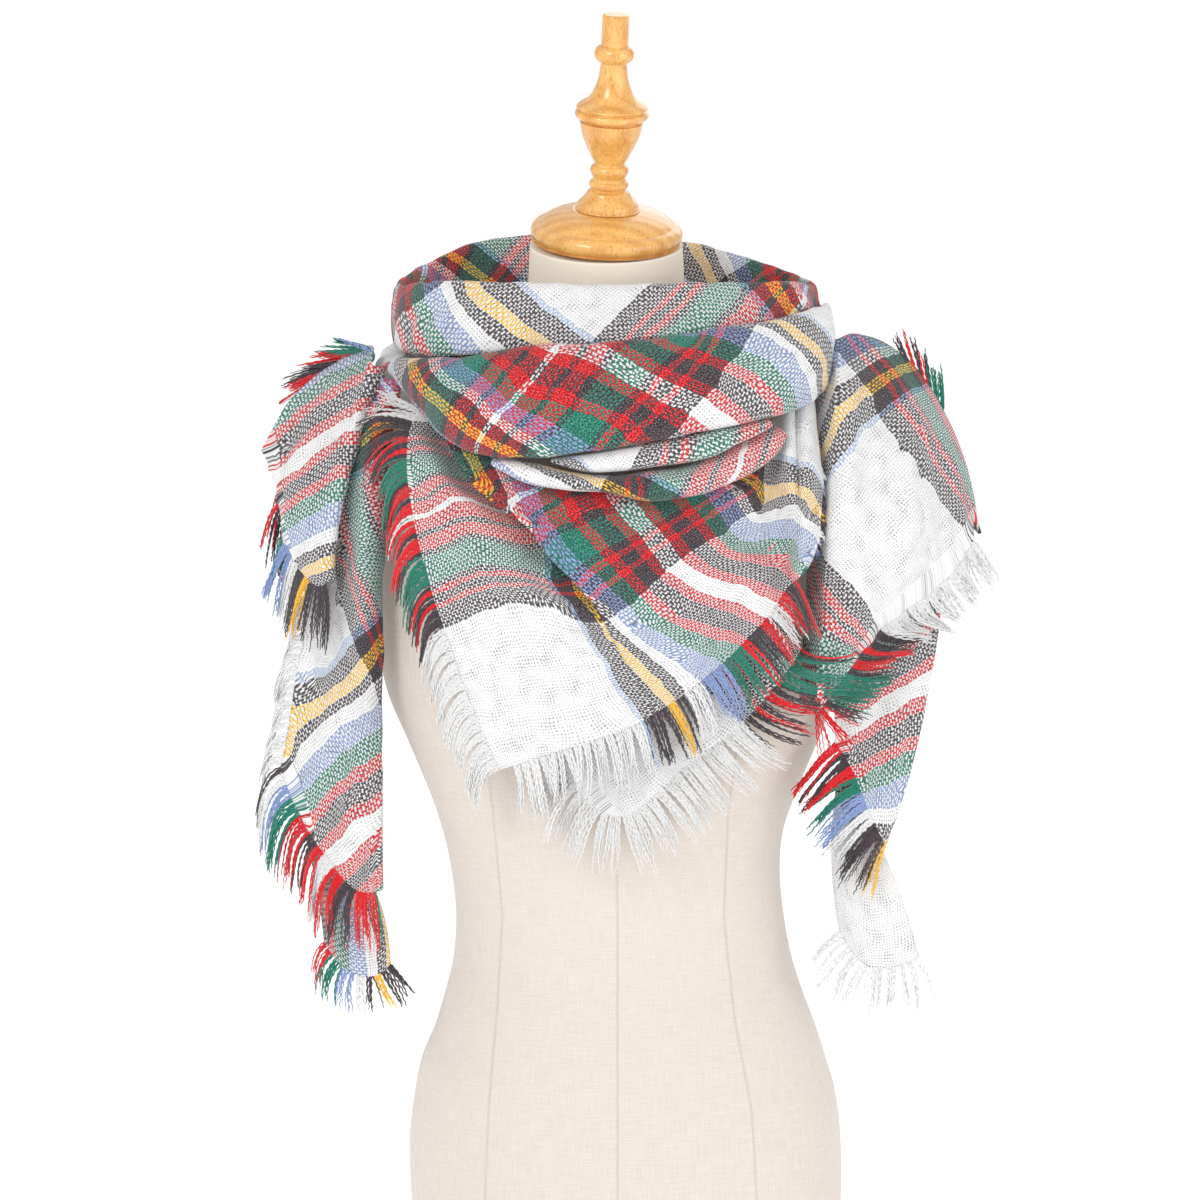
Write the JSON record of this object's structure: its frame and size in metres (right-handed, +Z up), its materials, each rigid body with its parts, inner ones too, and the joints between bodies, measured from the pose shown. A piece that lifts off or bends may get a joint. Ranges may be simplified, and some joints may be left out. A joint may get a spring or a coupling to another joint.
{
  "type": "fringed blanket scarf on a limbless dress form",
  "caption": "Large square plaid blanket scarf with fringed edges, folded to a triangle and wound round the neck of a linen dress form with a turned wooden finial.",
  "frame": {"origin": "middle of the dress form's flat underside, on the floor", "axes": "+Z up; the front of the form and the scarf's point look along -Y; +X is to the viewer's right"},
  "size_m": [0.5257, 0.3136, 0.9244],
  "materials": {
    "linen": "matt woven linen cover",
    "wood": "satin varnished, turned",
    "plaid_cloth": "loosely woven brushed acrylic plaid: white, charcoal, red, green, blue and yellow",
    "fringe_yarn": "loose fuzzy yarns in the colours of the bands they leave"
  },
  "bodies": {
    "root": {"form_torso": "linen", "neck_cap": "wood", "finial": "wood", "roll_front": "plaid_cloth", "roll_back": "plaid_cloth", "wrap_front": "plaid_cloth", "wrap_back": "plaid_cloth", "roll_low_inner": "plaid_cloth", "roll_low_outer": "plaid_cloth", "flap_front": "plaid_cloth", "flap_under": "plaid_cloth", "drape_right": "plaid_cloth", "tail_right": "plaid_cloth", "tail_right_end": "plaid_cloth", "tail_left_outer": "plaid_cloth", "tail_left_inner": "plaid_cloth", "tail_left_end": "plaid_cloth", "back_drape": "plaid_cloth", "fringe_flap_left": "fringe_yarn", "fringe_flap_bottom": "fringe_yarn", "fringe_flap_right": "fringe_yarn", "fringe_under": "fringe_yarn", "fringe_drape_right": "fringe_yarn", "fringe_tail_right": "fringe_yarn", "fringe_tail_right_end": "fringe_yarn", "fringe_tail_left_outer": "fringe_yarn", "fringe_tail_left_side": "fringe_yarn", "fringe_tail_left": "fringe_yarn", "fringe_tail_left_end": "fringe_yarn", "fringe_back": "fringe_yarn", "fringe_shoulder_right": "fringe_yarn", "fringe_shoulder_left": "fringe_yarn"}
  },
  "joints": []
}
